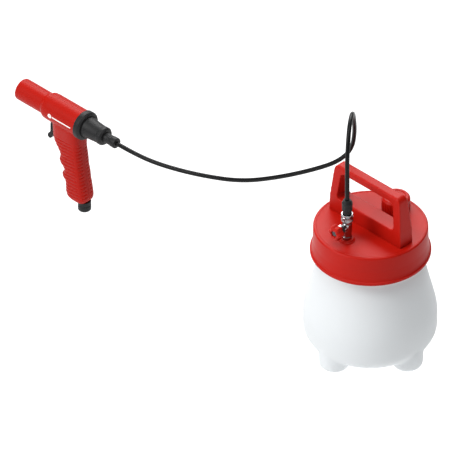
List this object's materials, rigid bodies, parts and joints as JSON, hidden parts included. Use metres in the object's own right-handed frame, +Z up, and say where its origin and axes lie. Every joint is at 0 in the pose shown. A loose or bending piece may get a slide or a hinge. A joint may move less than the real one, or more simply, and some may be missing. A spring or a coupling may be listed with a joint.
{
  "type": "pneumatic fluid extractor",
  "caption": "Air-powered suction pistol joined by a thin hose to a translucent collecting pot with a screw lid, carrying handle and shut-off valve.",
  "frame": {"origin": "on the floor, under the middle of the pot and pistol together", "axes": "+X along the pistol's barrel from its muzzle towards the pot, +Z up"},
  "size_m": [0.6821, 0.178, 0.3634],
  "materials": {
    "red_shell": "fine satin moulded polyamide",
    "red_lid": "satin moulded polypropylene",
    "bottle_plastic": "translucent natural polyethylene",
    "black_plastic": "fine textured polyamide",
    "black_rubber": "nitrile rubber",
    "hose_rubber": "smooth polyurethane hose",
    "valve_chrome": "polished chrome plate",
    "bright_steel": "zinc plated steel",
    "brass": "turned brass",
    "alloy": "anodised aluminium",
    "white_plastic": "acetal",
    "foam": "open cell silencer foam"
  },
  "bodies": {
    "pot_and_pistol": {"lid": "red_lid", "lid_gasket": "black_rubber", "carry_handle": "red_lid", "handle_screws": "bright_steel", "valve_body": "valve_chrome", "valve_seats": "white_plastic", "spindle_packing": "black_rubber", "gland_nut": "valve_chrome", "coupling_socket": "valve_chrome", "hose_plug": "black_plastic", "plug_oring": "black_rubber", "plug_hose_tail": "brass", "valve_washer": "bright_steel", "valve_locknut": "valve_chrome", "float_cage": "white_plastic", "cage_floor": "white_plastic", "casing_left": "red_shell", "casing_right": "red_shell", "casing_screws": "bright_steel", "clamp_ring": "black_plastic", "suction_adaptor": "black_plastic", "hose_gland": "black_plastic", "gun_hose_tail": "brass", "ejector_body": "alloy", "air_nozzle": "brass", "feed_pipe": "brass", "exhaust_tube": "black_plastic", "silencer_foam": "foam", "ejector_oring": "black_rubber", "trigger_pin": "bright_steel", "valve_block": "alloy", "stem_seal": "black_rubber", "spring_plug": "brass", "return_spring": "bright_steel", "inlet_connector": "black_plastic", "inlet_screen": "bright_steel", "air_pipe": "black_plastic", "hose": "hose_rubber"},
    "bottle": {"bottle": "bottle_plastic"},
    "valve_spindle": {"valve_ball": "valve_chrome", "valve_spindle": "valve_chrome", "valve_knob": "red_lid", "knob_screw": "bright_steel"},
    "fill_seal": {"fill_cap_seal": "black_rubber"},
    "fill_cap": {"fill_cap": "red_lid"},
    "float": {"float_ball": "white_plastic"},
    "trigger": {"trigger": "black_plastic"},
    "valve_stem": {"valve_stem": "bright_steel", "poppet_seal": "black_rubber"}
  },
  "joints": [
    {"name": "bottle_turn", "type": "hinge", "parent": "pot_and_pistol", "child": "bottle", "pos_m": [0.25225, 0, 0.1], "axis": [0, 0, -1], "range_deg": [0, 50]},
    {"name": "valve_turn", "type": "hinge", "parent": "pot_and_pistol", "child": "valve_spindle", "pos_m": [0.25225, -0.06, 0.219], "axis": [0, -1, 0], "range_deg": [0, 90]},
    {"name": "fill_cap_lift", "type": "slide", "parent": "pot_and_pistol", "child": "fill_seal", "axis": [0, 0, 1], "range_m": [0, 0.0045]},
    {"name": "fill_cap_turn", "type": "hinge", "parent": "fill_seal", "child": "fill_cap", "pos_m": [0.25225, 0.048, 0.21], "axis": [0, 0, 1], "range_deg": [0, 540]},
    {"name": "float_rise", "type": "slide", "parent": "pot_and_pistol", "child": "float", "axis": [0, 0, 1], "range_m": [0, 0.0135]},
    {"name": "trigger_pull", "type": "hinge", "parent": "pot_and_pistol", "child": "trigger", "pos_m": [-0.28175, -0.05, 0.1235], "axis": [0, -1, 0], "range_deg": [0, 13], "stiffness_Nm_per_rad": 0.2, "springref_deg": -17.19},
    {"name": "valve_push", "type": "slide", "parent": "pot_and_pistol", "child": "valve_stem", "axis": [1, 0, 0], "range_m": [0, 0.0042], "deforming": ["return_spring"]}
  ],
  "couplings": [
    {"joint": "fill_cap_lift", "follows": "fill_cap_turn", "m_per_rad": 0.000477},
    {"joint": "valve_push", "follows": "trigger_pull", "m_per_rad": 0.0175}
  ]
}
